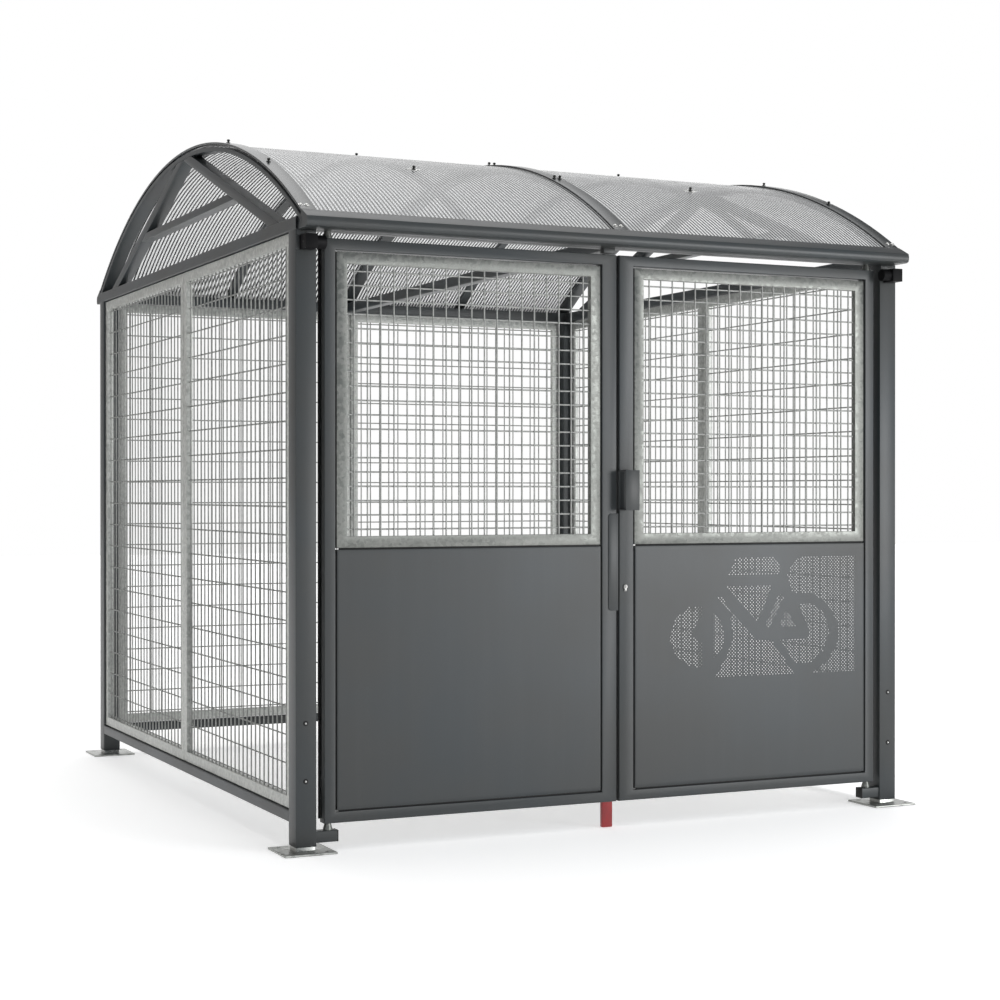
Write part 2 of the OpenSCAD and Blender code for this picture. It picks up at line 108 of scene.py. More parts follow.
class Nodes:  # adds nodes to one tree
    def __init__(self, tree):
        self.tree = tree

    def give(self, node, values):
        for name, value in values.items():
            if isinstance(value, Value):
                self.tree.links.new(value.socket, node.inputs[name])
            else:
                node.inputs[name].default_value = value

    def node(self, kind, settings=None, inputs=None, output=0):
        made = self.tree.nodes.new(kind)
        for name, value in (settings or {}).items():
            setattr(made, name, value)
        self.give(made, inputs or {})
        return Value(self, made.outputs[output])

    def split(self, vector):
        parts = self.node("ShaderNodeSeparateXYZ", {}, {0: vector})
        return [Value(self, socket) for socket in parts.socket.node.outputs]

    def between(self, value, low, high, start=0.0, end=1.0):
        inputs = {"Value": value, "From Min": start, "From Max": end, "To Min": low, "To Max": high}
        return self.node("ShaderNodeMapRange", {"clamp": True}, inputs)

    def mixed(self, factor, first, second):  # first and second are colours or links to colours
        inputs = {0: factor, 6: first, 7: second}
        return self.node("ShaderNodeMix", {"data_type": "RGBA"}, inputs, 2)


class Finish(Nodes):  # one material with a Principled shader
    def __init__(self, name, constants):
        self.material = bpy.data.materials.new(name)
        self.material.use_nodes = True
        super().__init__(self.material.node_tree)
        self.tree.nodes.clear()
        self.shader = self.tree.nodes.new("ShaderNodeBsdfPrincipled")
        output = self.tree.nodes.new("ShaderNodeOutputMaterial")
        self.tree.links.new(self.shader.outputs[0], output.inputs[0])
        self.feed(constants)

    def feed(self, values):
        self.give(self.shader, values)

    def place(self):
        return self.node("ShaderNodeTexCoord", output="Object")

    def stretched(self, scale):
        return self.node("ShaderNodeMapping", {}, {"Vector": self.place(), "Scale": scale})

    def noise(self, scale, detail=2.0, vector=None):
        inputs = {"Vector": vector or self.place(), "Scale": scale, "Detail": detail}
        return self.node("ShaderNodeTexNoise", {}, inputs, "Fac")

    def bumpy(self, height, strength, distance):
        inputs = {"Height": height, "Strength": strength, "Distance": distance}
        return self.node("ShaderNodeBump", {}, inputs)

    # marks the edges for a lighter colour: partly wear, partly a painted highlight on the rounded edges
    def worn(self, radius):  # 1 on the outer edges, 0 on the faces
        rounded = self.node("ShaderNodeBevel", {"samples": 3}, {"Radius": radius})
        flat = self.node("ShaderNodeNewGeometry", output="Normal")
        settings = {"operation": "DOT_PRODUCT"}
        same = self.node("ShaderNodeVectorMath", settings, {0: rounded, 1: flat}, "Value")
        return self.between(same, 1.0, 0.0, 0.86, 0.995)


def grey(red, green=None, blue=None):
    return (red, red if green is None else green, red if blue is None else blue, 1.0)


# finishes

coatLook = {
    "base": grey(0.034, 0.041, 0.045),
    "warm": grey(0.039, 0.042, 0.042),
    "edge": grey(0.070, 0.075, 0.077),
    "roughness": (0.34, 0.42),
    "cloud": 2.2,
    "speck": 240.0,
    "streak": (22.0, 22.0, 1.2),
    "grain": 900.0,
    "bump": (0.16, 0.0006),
    "edgeWearHighlightRadius": 0.0022,
    "edgeWearHighlightShare": 0.55,
    "IOR": 1.42,
}
glossLook = dict(coatLook, roughness=(0.16, 0.24), IOR=1.52)


def powderCoat(name, look):
    finish = Finish(name, {"IOR": look["IOR"]})
    cloud = finish.noise(look["cloud"], 3.0)
    speck = finish.noise(look["speck"], 2.0)
    streak = finish.noise(1.0, 3.0, finish.stretched(look["streak"]))
    dust = finish.between(speck * 0.5 + streak * 0.5, 0.0, 0.22, 0.5, 0.8)
    colour = finish.mixed(finish.between(cloud, 0.0, 1.0, 0.35, 0.65), look["base"], look["warm"])
    colour = finish.mixed(dust, colour, look["edge"])
    # lighter edges: partly wear, partly a painted highlight
    colour = finish.mixed(finish.worn(look["edgeWearHighlightRadius"]) * look["edgeWearHighlightShare"], colour, look["edge"])
    low, high = look["roughness"]
    grain = finish.noise(look["grain"], 1.0)
    finish.feed({
        "Base Color": colour,
        "Roughness": finish.between(cloud * 0.6 + speck * 0.4, low, high, 0.3, 0.7),
        "Normal": finish.bumpy(grain, *look["bump"]),
    })
    return finish.material


zincLook = {
    "dark": grey(0.140, 0.147, 0.138),
    "light": grey(0.255, 0.260, 0.246),
    "crystal": 90.0,
    "warp": 60.0,
    "bend": 0.012,
    "cloud": 5.0,
    "fine": 160.0,
    "roughness": (0.36, 0.60),
    "metallic": (0.80, 0.92),
    "bump": (0.10, 0.0008),
}
# a lighter copy of the galvanised finish for the side and back wall frames: painted light, its colour raised
# to stand in for the light on the walls
litWallLook = dict(
    zincLook, dark=grey(0.36, 0.372, 0.355), light=grey(0.60, 0.61, 0.585), metallic=(0.45, 0.60),
)
wireLook = dict(
    zincLook, dark=grey(0.25, 0.256, 0.246), light=grey(0.40, 0.405, 0.39), metallic=(0.50, 0.70),
)
footLook = dict(
    zincLook, dark=grey(0.26, 0.268, 0.256), light=grey(0.47, 0.478, 0.458), crystal=55.0,
    roughness=(0.26, 0.44), metallic=(0.75, 0.90),
)


def galvanised(name, look):
    finish = Finish(name, {"IOR": 1.5})
    warp = finish.node("ShaderNodeTexNoise", {}, {"Vector": finish.place(), "Scale": look["warp"]}, "Color")
    inputs = {0: warp, 1: [look["bend"]] * 3, 2: finish.place()}
    bent = finish.node("ShaderNodeVectorMath", {"operation": "MULTIPLY_ADD"}, inputs)
    cells = finish.node("ShaderNodeTexVoronoi", {}, {"Vector": bent, "Scale": look["crystal"]}, "Color")
    shade = finish.node("ShaderNodeSeparateColor", {}, {0: cells})
    cloud = finish.noise(look["cloud"], 4.0)
    fine = finish.noise(look["fine"], 3.0)
    mottle = finish.between(shade * 0.5 + cloud * 0.3 + fine * 0.2, 0.0, 1.0, 0.2, 0.8)
    low, high = look["roughness"]
    finish.feed({
        "Base Color": finish.mixed(mottle, look["dark"], look["light"]),
        "Roughness": finish.between(shade * 0.6 + fine * 0.4, low, high, 0.2, 0.8),
        "Metallic": finish.between(cloud, *look["metallic"]),
        "Normal": finish.bumpy(fine * 0.6 + shade * 0.4, *look["bump"]),
    })
    return finish.material


# the roof's circle, its top at the middle cover strip's upper face
roof = {"radius": 2.652, "sheetOuter": 2.6437, "sheetInner": 2.6337, "sheetHalfSpan": 1.4755}
roof["centreZ"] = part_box("cover_strip_middle")[1].z - roof["radius"]
flute = {
    "pitch": 0.016,
    "milkyShare": 0.5,
    "skin": 0.002,
    "milky": grey(0.50, 0.51, 0.515),
    "dark": grey(0.085, 0.087, 0.088),
    "dust": grey(0.42, 0.42, 0.40),
    "alpha": (0.34, 0.42),
    "darkAlpha": 0.60,
    "innerAlpha": 0.03,
    "glow": 0.30,
    "milk": 1.6,
    "dirt": 14.0,
    "grain": (700.0, 6.0, 6.0),
    "blur": 0.03,
}


def multiwall(name, look):  # milky and dark stripes side by side in the outer skin, all clear below it
    finish = Finish(name, {"IOR": 1.5, "Specular IOR Level": 0.3, "Emission Strength": look["glow"]})
    x, y, z = finish.split(finish.place())
    turn = finish.node("ShaderNodeMath", {"operation": "FRACT"}, {0: x / look["pitch"]})
    edge, blur = look["milkyShare"], look["blur"]
    stripe = finish.between(turn, 0.0, 1.0, edge - blur, edge + blur)
    stripe = stripe * finish.between(turn, 1.0, 0.0, 1.0 - blur, 1.0)
    lift = z - roof["centreZ"]
    radius = finish.node("ShaderNodeMath", {"operation": "SQRT"}, {0: y * y + lift * lift})
    outer = radius > roof["sheetOuter"] - look["skin"]
    milk = finish.noise(look["milk"], 3.0)
    dusty = finish.noise(look["dirt"], 3.0)
    grain = finish.noise(1.0, 2.0, finish.stretched(look["grain"]))
    tint = finish.mixed(stripe * outer, look["milky"], look["dark"])
    tint = finish.mixed(finish.between(dusty, 0.0, 0.08, 0.45, 0.75), tint, look["dust"])
    # painted light: on the outer skin the milky flutes glow, an emission that stands in for the daylight they
    # pass on
    glow = finish.mixed(stripe, grey(1.0), grey(0.0))  # daylight that the milky flutes pass on
    milky = finish.between(milk * 0.6 + dusty * 0.4, *look["alpha"], 0.3, 0.7)
    finish.feed({
        "Base Color": tint,
        "Emission Color": finish.mixed(outer, grey(0.0), glow),
        "Alpha": outer * milky + stripe * outer * look["darkAlpha"] + look["innerAlpha"],
        "Roughness": finish.between(dusty, 0.12, 0.26, 0.3, 0.7),
        "Normal": finish.bumpy(grain, 0.05, 0.0004),
    })
    return finish.material


def mouldedPlastic(name, base, roughness, grain, shine=0.35):
    finish = Finish(name, {"IOR": 1.42, "Specular IOR Level": shine})
    cloud = finish.noise(9.0, 3.0)
    fine = finish.noise(grain, 2.0)
    lighter = grey(base[0] * 1.7, base[1] * 1.7, base[2] * 1.7)
    worn = finish.between(cloud * 0.5 + fine * 0.5, 0.0, 0.6, 0.4, 0.7)
    finish.feed({
        "Base Color": finish.mixed(worn, base, lighter),
        "Roughness": finish.between(cloud, roughness - 0.06, roughness + 0.08, 0.3, 0.7),
        "Normal": finish.bumpy(fine, 0.12, 0.0004),
    })
    return finish.material


def redPaint(name):
    finish = Finish(name, {"IOR": 1.5, "Coat Roughness": 0.2})
    cloud = finish.noise(14.0, 4.0)
    scuff = finish.noise(1.0, 3.0, finish.stretched((160.0, 160.0, 9.0)))
    bright, dull = grey(0.33, 0.012, 0.014), grey(0.24, 0.014, 0.016)
    colour = finish.mixed(finish.between(cloud, 0.0, 1.0, 0.35, 0.65), bright, dull)
    colour = finish.mixed(finish.between(scuff, 0.0, 0.5, 0.6, 0.8), colour, grey(0.16, 0.03, 0.03))
    finish.feed({
        "Base Color": colour,
        "Roughness": finish.between(scuff, 0.34, 0.52, 0.4, 0.7),
        "Coat Weight": finish.between(cloud, 0.25, 0.1),
        "Normal": finish.bumpy(finish.noise(500.0, 1.0), 0.15, 0.0005),
    })
    return finish.material


def bareMetal(name, dark, light, roughness, metallic=1.0):
    finish = Finish(name, {"IOR": 1.5})
    brush = finish.noise(1.0, 3.0, finish.stretched((60.0, 60.0, 900.0)))
    cloud = finish.noise(70.0, 3.0)
    sheen = finish.between(brush * 0.5 + cloud * 0.5, 0.0, 1.0, 0.35, 0.65)
    finish.feed({
        "Base Color": finish.mixed(sheen, dark, light),
        "Roughness": finish.between(cloud, roughness - 0.06, roughness + 0.08, 0.3, 0.7),
        "Metallic": finish.between(cloud, metallic - 0.08, metallic, 0.2, 0.5),
        "Normal": finish.bumpy(brush, 0.08, 0.0003),
    })
    return finish.material


anthracite = powderCoat("anthracite_powder_coat", coatLook)
roofCoat = powderCoat("anthracite_gloss_coat", glossLook)
zinc = galvanised("galvanised_steel", zincLook)
# the wall frames' galvanising, made lighter as painted light
litWallZinc = galvanised("galvanised_wall_frame_lit", litWallLook)
wireZinc = galvanised("galvanised_wire", wireLook)
footZinc = galvanised("galvanised_foot", footLook)
clearSheet = multiwall("multiwall_sheet", flute)
closerBlack = mouldedPlastic("closer_black", grey(0.0045, 0.0045, 0.005), 0.55, 700.0, 0.16)
# black rubber for the plugs, also used as painted shade in the door gaps and the bolt recesses
blackRubberAndShade = mouldedPlastic("black_rubber_and_shade", grey(0.012, 0.012, 0.012), 0.55, 900.0)
nylon = mouldedPlastic("white_nylon", grey(0.30, 0.31, 0.31), 0.40, 300.0)
boltRed = redPaint("red_paint")
brightZinc = bareMetal("bright_zinc", grey(0.50, 0.50, 0.49), grey(0.72, 0.72, 0.70), 0.30)
blackScrew = bareMetal("black_screws", grey(0.020, 0.021, 0.020), grey(0.050, 0.052, 0.048), 0.42, 0.6)
nickel = bareMetal("nickel", grey(0.20, 0.20, 0.195), grey(0.34, 0.335, 0.325), 0.34)
report("finishes made")


# modelling tools


def grab(*pieces):  # selects these and nothing else
    if bpy.context.mode != "OBJECT":
        bpy.ops.object.mode_set(mode="OBJECT")
    bpy.ops.object.select_all(action="DESELECT")
    for piece in pieces:
        piece.select_set(True)
    bpy.context.view_layer.objects.active = pieces[0]


def settle(piece):  # its place, turn and size go into its mesh
    grab(piece)
    bpy.ops.object.transform_apply(location=True, rotation=True, scale=True)
    return piece


def edit(piece, kind="FACE"):
    grab(piece)
    bpy.ops.object.mode_set(mode="EDIT")
    bpy.ops.mesh.select_mode(type=kind)


def done():
    bpy.ops.object.mode_set(mode="OBJECT")


def pickEdges(piece, rule, sharpOnly=False):  # stays in edit mode; the rule takes an edge's two ends
    edit(piece, "EDGE")
    bpy.ops.mesh.select_all(action="DESELECT")
    if sharpOnly:
        bpy.ops.mesh.edges_select_sharp(sharpness=math.radians(38))
    done()
    mesh = piece.data
    for one in mesh.edges:
        ends = [mesh.vertices[i].co for i in one.vertices]
        one.select = bool((one.select or not sharpOnly) and rule(*ends))
    if sharpOnly:
        for vertex in mesh.vertices:
            vertex.select = False
        for one in mesh.edges:
            if one.select:
                for i in one.vertices:
                    mesh.vertices[i].select = True
        for face in mesh.polygons:
            face.select = False
    bpy.ops.object.mode_set(mode="EDIT")


def modify(piece, kind, **settings):
    grab(piece)
    modifier = piece.modifiers.new(kind.title(), kind)
    for name, value in settings.items():
        setattr(modifier, name, value)
    bpy.ops.object.modifier_apply(modifier=modifier.name)


def outward(piece):
    edit(piece)
    bpy.ops.mesh.select_all(action="SELECT")
    bpy.ops.mesh.remove_doubles(threshold=mergeGap)
    bpy.ops.mesh.normals_make_consistent(inside=False)
    done()


def smooth(piece, degrees=35):
    grab(piece)
    bpy.ops.object.shade_smooth_by_angle(angle=math.radians(degrees))


def joined(name, pieces):
    grab(*pieces)
    if len(pieces) > 1:
        bpy.ops.object.join()
    piece = bpy.context.object
    piece.name = name
    piece.data.name = name
    return piece


def put(piece, place, towards=(0, 0, 1)):  # its own Z points towards a direction
    piece.rotation_euler = Vector(towards).to_track_quat("Z", "Y").to_euler()
    piece.location = place
    return settle(piece)


def another(piece, name="copy"):
    grab(piece)
    bpy.ops.object.duplicate(linked=False)
    copy = bpy.context.object
    copy.name = name
    for key in [k for k in copy.keys() if k.startswith("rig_")]:
        del copy[key]
    copy.parent = None
    return copy


def scattered(name, master, spots):  # copies of the master at (place, direction), joined; the master goes
    copies = [put(another(master), place, towards) for place, towards in spots]
    bpy.data.objects.remove(master)
    return joined(name, copies)


def dress(piece, material, body):
    piece.data.materials.clear()
    piece.data.materials.append(material)
    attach(piece, body)
    return piece


def block(name, low, high, bevel=0.001, segments=2):
    low, high = Vector(low), Vector(high)
    bpy.ops.mesh.primitive_cube_add(size=1, location=(low + high) / 2)
    piece = bpy.context.object
    piece.name = name
    piece.scale = high - low
    settle(piece)
    edit(piece, "EDGE")
    bpy.ops.mesh.select_all(action="SELECT")
    bpy.ops.mesh.bevel(offset=bevel, segments=segments, affect="EDGES")
    done()
    smooth(piece, 30)
    return piece


def turned(name, profile, steps=16):  # (radius, height) points spun about Z, closed at both ends
    (radius, height) = profile[0]
    bpy.ops.mesh.primitive_plane_add(size=0.001, location=(radius, 0, height))
    piece = bpy.context.object
    piece.name = name
    settle(piece)
    edit(piece, "VERT")
    bpy.ops.mesh.select_all(action="SELECT")
    bpy.ops.mesh.merge(type="CENTER")
    for (r0, h0), (r1, h1) in zip(profile, profile[1:]):
        bpy.ops.mesh.extrude_region_move(TRANSFORM_OT_translate={"value": (r1 - r0, 0, h1 - h0)})
    bpy.ops.mesh.select_all(action="SELECT")
    bpy.ops.mesh.spin(steps=steps, angle=math.tau, center=(0, 0, 0), axis=(0, 0, 1))
    done()
    outward(piece)
    smooth(piece, 40)
    return piece


def bodyOf(node):
    return frame["nodes"][node]["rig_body"]


def long(first, second):  # an edge along a tube, not one of its small ends
    return (second - first).length > 0.06


def alongArc(first, second):  # an edge that follows the roof, not one across a member
    return abs((second - first).normalized().x) < 0.5


def anyEdge(first, second):
    return True


def eased(node, material, radius, rule=long, segments=3):
    # a CAD node with its edges rounded as the real tube or sheet has them
    piece = another(frame["nodes"][node], node + "_eased")
    grab(piece)
    bpy.ops.mesh.customdata_custom_splitnormals_clear()
    edit(piece)
    bpy.ops.mesh.select_all(action="SELECT")
    bpy.ops.mesh.remove_doubles(threshold=mergeGap)
    bpy.ops.mesh.dissolve_limited(angle_limit=math.radians(0.2))
    pickEdges(piece, rule, sharpOnly=True)
    bpy.ops.mesh.bevel(offset=radius, segments=segments, affect="EDGES", clamp_overlap=True)
    done()
    smooth(piece)
    dress(piece, material, bodyOf(node))
    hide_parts(node)
    return piece


# steel frame

easing = {  # edge radius of each kind of member, in metres
    "post": 0.005, "foot": 0.0015, "rail": 0.003, "beam": 0.003, "arch": 0.0015,
    "strip": 0.002, "gutter": 0.0012, "door": 0.003, "small": 0.001,
    "lock": 0.0006, "bolt": 0.0025, "bracket": 0.003, "closer": 0.002,
}
for corner in ["front_left", "front_right", "back_left", "back_right"]:
    eased("post_" + corner, anthracite, easing["post"])
    eased("foot_" + corner, footZinc, easing["foot"])
for node in ["bottom_rail_left", "bottom_rail_right", "bottom_rail_back"]:
    eased(node, anthracite, easing["rail"])
for node in ["tie_beam_left", "tie_beam_middle", "tie_beam_right", "eave_beam_front", "eave_beam_back"]:
    eased(node, anthracite, easing["beam"])
eased("door_stop", anthracite, easing["small"], anyEdge)
for side in ["left", "right"]:
    for end in ["front", "back"]:
        eased(f"rafter_{side}_{end}", anthracite, easing["rail"], alongArc)
    eased("collar_" + side, anthracite, easing["rail"], alongArc)
    eased("roof_rib_" + side, anthracite, easing["arch"], alongArc)
for place in ["left", "middle", "right"]:
    eased("arch_" + place, anthracite, easing["arch"], alongArc)
    eased("cover_strip_" + place, roofCoat, easing["strip"], alongArc)
for end in ["front", "back"]:
    eased("gutter_" + end, anthracite, easing["gutter"])
report("steel frame rounded")


# framed wire mesh

meshMake = {  # the wires' depths are behind the frame's face
    "face": 0.040, "depth": 0.025, "edge": 0.0015, "wire": 0.0029, "upright": 0.0085, "level": 0.0125,
    "margin": 0.010, "tuck": 0.003, "weld": 0.0032, "weldDepth": 0.7,
}
wallMesh = {"pitch": 0.050, "rise": 0.100}
doorMesh = {"pitch": 0.050, "rise": 0.050}


def rowOf(piece, count, step):
    if count > 1:
        modify(
            piece, "ARRAY", count=count, use_relative_offset=False,
            use_constant_offset=True, constant_offset_displace=step,
        )


def wire(first, along, length, radius):  # a round wire that starts at the point first
    bpy.ops.mesh.primitive_circle_add(vertices=8, radius=radius, fill_type="NGON")
    piece = bpy.context.object
    edit(piece)
    bpy.ops.mesh.select_all(action="SELECT")
    bpy.ops.mesh.extrude_region_move(TRANSFORM_OT_translate={"value": (0, 0, length)})
    done()
    outward(piece)
    smooth(piece, 50)
    return put(piece, first, along)


# faces -Y, its lower left front corner at the origin
def framedMesh(name, size, lattice, frameFinish):
    width, height = size
    face, radius, pitch, rise = meshMake["face"], meshMake["wire"], lattice["pitch"], lattice["rise"]
    bpy.ops.mesh.primitive_plane_add(size=1, location=(width / 2, 0, height / 2), rotation=(quarter, 0, 0))
    border = bpy.context.object
    border.scale = (width, height, 1)
    settle(border)
    edit(border)
    bpy.ops.mesh.select_all(action="SELECT")
    bpy.ops.mesh.inset(thickness=face)
    bpy.ops.mesh.delete(type="FACE")
    done()
    modify(border, "SOLIDIFY", thickness=meshMake["depth"], offset=-1)
    modify(border, "BEVEL", width=meshMake["edge"], segments=2, limit_method="ANGLE", angle_limit=0.7)
    smooth(border, 30)
    columns = math.floor((width - 2 * face - meshMake["margin"]) / pitch + 1e-6)
    rows = math.floor((height - 2 * face - meshMake["margin"]) / rise + 1e-6)
    firstX = (width - columns * pitch) / 2
    firstZ = (height - rows * rise) / 2
    tuck = face - meshMake["tuck"]
    upright = wire((firstX, meshMake["upright"], tuck), (0, 0, 1), height - 2 * tuck, radius)
    rowOf(upright, columns + 1, (pitch, 0, 0))
    level = wire((tuck, meshMake["level"], firstZ), (1, 0, 0), width - 2 * tuck, radius)
    rowOf(level, rows + 1, (0, 0, rise))
    crossing = (firstX, (meshMake["upright"] + meshMake["level"]) / 2, firstZ)
    bpy.ops.mesh.primitive_ico_sphere_add(subdivisions=1, radius=meshMake["weld"], location=crossing)
    weld = bpy.context.object
    weld.scale = (1.0, meshMake["weldDepth"], 1.0)
    settle(weld)
    smooth(weld, 80)
    rowOf(weld, columns + 1, (pitch, 0, 0))
    rowOf(weld, rows + 1, (0, 0, rise))
    border.data.materials.append(frameFinish)
    for part in [upright, level, weld]:
        part.data.materials.append(wireZinc)
    return joined(name, [border, upright, level, weld])


def hangMesh(master, node, place, turn, body):  # a copy of the master in the place of a CAD node
    piece = another(master, node + "_wires")
    piece.rotation_euler = (0, 0, turn)
    piece.location = place
    settle(piece)
    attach(piece, body)
    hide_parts(node)


sideLow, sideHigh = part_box("mesh_wall_right_back")
sideSize = (sideHigh.y - sideLow.y, sideHigh.z - sideLow.z)
sideMaster = framedMesh("side_mesh", sideSize, wallMesh, litWallZinc)
for end, y in [("front", -sideHigh.y), ("back", sideLow.y)]:
    hangMesh(sideMaster, "mesh_wall_right_" + end, (sideHigh.x, y, sideLow.z), quarter, "shelter")
for end, y in [("front", -sideLow.y), ("back", sideHigh.y)]:
    hangMesh(sideMaster, "mesh_wall_left_" + end, (-sideHigh.x, y, sideLow.z), -quarter, "shelter")
rearLow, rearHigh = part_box("mesh_wall_back_right")
rearSize = (rearHigh.x - rearLow.x, rearHigh.z - rearLow.z)
rearMaster = framedMesh("rear_mesh", rearSize, wallMesh, litWallZinc)
for side, x in [("right", rearHigh.x), ("left", -rearLow.x)]:
    hangMesh(rearMaster, "mesh_wall_back_" + side, (x, rearHigh.y, rearLow.z), math.pi, "shelter")
leafLow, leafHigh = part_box("door_mesh_right")
leafSize = (leafHigh.x - leafLow.x, leafHigh.z - leafLow.z)
leafMaster = framedMesh("leaf_mesh", leafSize, doorMesh, zinc)
for side, x in [("right", leafLow.x), ("left", -leafHigh.x)]:
    hangMesh(leafMaster, "door_mesh_" + side, (x, leafLow.y, leafLow.z), 0, side + "_door")
for master in [sideMaster, rearMaster, leafMaster]:
    bpy.data.objects.remove(master)
report("mesh panels made")


# roof sheets

sheetMake = {"wall": 0.00035, "steps": 44}  # half a rib between two flutes, and parts of the arc


def fluteSheet(name, left, right, make):  # cells of the sheet side by side, swept along the roof's arc
    inner, outer = roof["sheetInner"], roof["sheetOuter"]
    cells = math.floor((right - left) / flute["pitch"])
    spare = right - left - cells * flute["pitch"]
    reach = math.asin(roof["sheetHalfSpan"] / outer)
    middle = (left + spare / 2 + flute["pitch"] / 2, 0, (inner + outer) / 2)
    bpy.ops.mesh.primitive_plane_add(size=1, location=middle, rotation=(quarter, 0, 0))
    piece = bpy.context.object
    piece.scale = (flute["pitch"], outer - inner, 1)
    settle(piece)
    edit(piece)
    bpy.ops.mesh.select_all(action="SELECT")
    bpy.ops.mesh.inset(thickness=make["wall"])
    bpy.ops.mesh.delete(type="FACE")
    done()
    modify(
        piece, "ARRAY", count=cells, use_relative_offset=False, use_constant_offset=True,
        constant_offset_displace=(flute["pitch"], 0, 0), use_merge_vertices=True, merge_threshold=mergeGap,
    )
    piece.rotation_euler = (reach, 0, 0)
    settle(piece)
    edit(piece)
    bpy.ops.mesh.select_all(action="SELECT")
    bpy.ops.mesh.spin(steps=make["steps"], angle=2 * reach, center=(0, 0, 0), axis=(1, 0, 0))
    done()
    piece.location.z = roof["centreZ"]
    settle(piece)
    outward(piece)
    smooth(piece, 30)
    piece.name = name
    return piece


for side, sign in [("left", -1), ("right", 1)]:
    low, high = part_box("roof_sheet_" + side)
    sheet = fluteSheet("roof_sheet_" + side + "_flutes", low.x, high.x, sheetMake)
    dress(sheet, clearSheet, "shelter")
    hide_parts("roof_sheet_" + side)
report("roof sheets swept")


# doors

for side in ["left", "right"]:
    eased("door_frame_" + side, anthracite, easing["door"])

panelMake = {"sheet": 0.002, "fold": 0.025, "notchWide": 0.008, "notchTall": 0.016, "edge": 0.0025}
holeMake = {  # the field's corners are (x, z) on the right door
    "pitch": 0.0136, "rise": 0.0068, "hole": 0.00225, "fieldLow": (0.205, 0.525), "fieldHigh": (1.080, 1.008),
    "merge": 0.0003, "spread": 0.02,
}
bicycle = {  # outlines of the perforated fields, (x, z) in millimetres; a bicycle stays plain between them
    "saddle": [(515, 995), (690, 995), (720, 965), (705, 925), (480, 925)],
    "frame": [(465, 888), (680, 888), (610, 740)],
    "stay": [(712, 858), (732, 838), (662, 716), (645, 730)],
    "pedal": [(745, 792), (788, 720), (704, 720)],
    "front": [(365, 815), (305, 808), (250, 770), (220, 697), (250, 625), (305, 586), (365, 580),
              (365, 672), (315, 700), (345, 758), (365, 780)],
    "rim": [(412, 788), (450, 745), (465, 697), (450, 650), (412, 606)],
    "fork": [(432, 846), (447, 846), (512, 775), (500, 765)],
    "ground": [(485, 772), (512, 775), (610, 678), (670, 678), (782, 540), (410, 540), (470, 605),
               (502, 697)],
    "back": [(795, 812), (860, 810), (915, 775), (943, 700), (915, 625), (860, 580), (785, 580),
             (710, 672), (842, 676), (850, 702)],
    "sky": [(805, 995), (1067, 995), (1067, 540), (857, 540), (930, 580), (980, 650), (985, 730),
            (930, 810), (862, 852), (772, 855), (745, 920), (770, 970)],
}


def inside(point, outline):
    x, z = point
    crossed = False
    for (x0, z0), (x1, z1) in zip(outline, outline[1:] + outline[:1]):
        if (z0 > z) != (z1 > z) and x < x0 + (z - z0) * (x1 - x0) / (z1 - z0):
            crossed = not crossed
    return crossed


def perforated(x, z):
    spot = (x * 1000, z * 1000)
    return any(inside(spot, outline) for outline in bicycle.values())


def cellField(low, high, make):  # six-sided cells in staggered rows, each with its hole still filled
    pitch, rise = make["pitch"], make["rise"]
    squash = rise / (pitch * math.sqrt(3) / 2)
    columns = math.ceil((high.x - low.x) / pitch) + 2
    rows = math.ceil((high.z - low.z) / (2 * rise)) + 1
    start = Vector((low.x - pitch / 2, 0, low.z - rise / 2))
    cells = []
    for shift, lift in [(0, 0), (pitch / 2, rise)]:
        place = start + Vector((shift, 0, lift))
        bpy.ops.mesh.primitive_circle_add(
            vertices=6, radius=pitch / math.sqrt(3), fill_type="NGON", location=place,
            rotation=(quarter, 0, 0),
        )
        cell = settle(bpy.context.object)
        edit(cell)
        bpy.ops.mesh.select_all(action="SELECT")
        bpy.ops.mesh.inset(thickness=pitch / 2 - make["hole"] * math.sqrt(3) / 2)
        bpy.ops.transform.resize(value=(1, 1, 1 / squash), center_override=place)
        bpy.ops.mesh.select_all(action="SELECT")
        bpy.ops.transform.resize(value=(1, 1, squash), center_override=place)
        done()
        rowOf(cell, columns, (pitch, 0, 0))
        rowOf(cell, rows, (0, 0, 2 * rise))
        cells.append(cell)
    field = joined("cells", cells)
    edit(field)
    bpy.ops.mesh.select_all(action="SELECT")
    bpy.ops.mesh.remove_doubles(threshold=make["merge"])
    done()
    return field


def trimmed(piece, place, normal):  # cuts away what lies on the normal's side
    edit(piece)
    bpy.ops.mesh.select_all(action="SELECT")
    bpy.ops.mesh.bisect(plane_co=place, plane_no=normal, clear_outer=True)
    done()


def onLine(axis, value, *points):
    return all(abs(getattr(point, axis) - value) < hair for point in points)


def stretchRim(piece, old, new):  # extrudes the open rim of the flat sheet from one rectangle to a larger one
    (x0, z0, x1, z1), (nx0, nz0, nx1, nz1) = old, new
    sides = [("x", x0), ("x", x1), ("z", z0), ("z", z1)]
    pickEdges(piece, lambda a, b: any(onLine(axis, value, a, b) for axis, value in sides))
    scaleX, scaleZ = (nx1 - nx0) / (x1 - x0), (nz1 - nz0) / (z1 - z0)
    centre = ((nx0 - x0 * scaleX) / (1 - scaleX), 0, (nz0 - z0 * scaleZ) / (1 - scaleZ))
    bpy.ops.mesh.extrude_edges_move()
    bpy.ops.transform.resize(value=(scaleX, 1, scaleZ), center_override=centre)
    done()


def pullSide(piece, axis, value, shift):  # extrudes the edges that lie on one line
    pickEdges(piece, lambda a, b: onLine(axis, value, a, b))
    bpy.ops.mesh.extrude_edges_move(TRANSFORM_OT_translate={"value": shift})
    done()


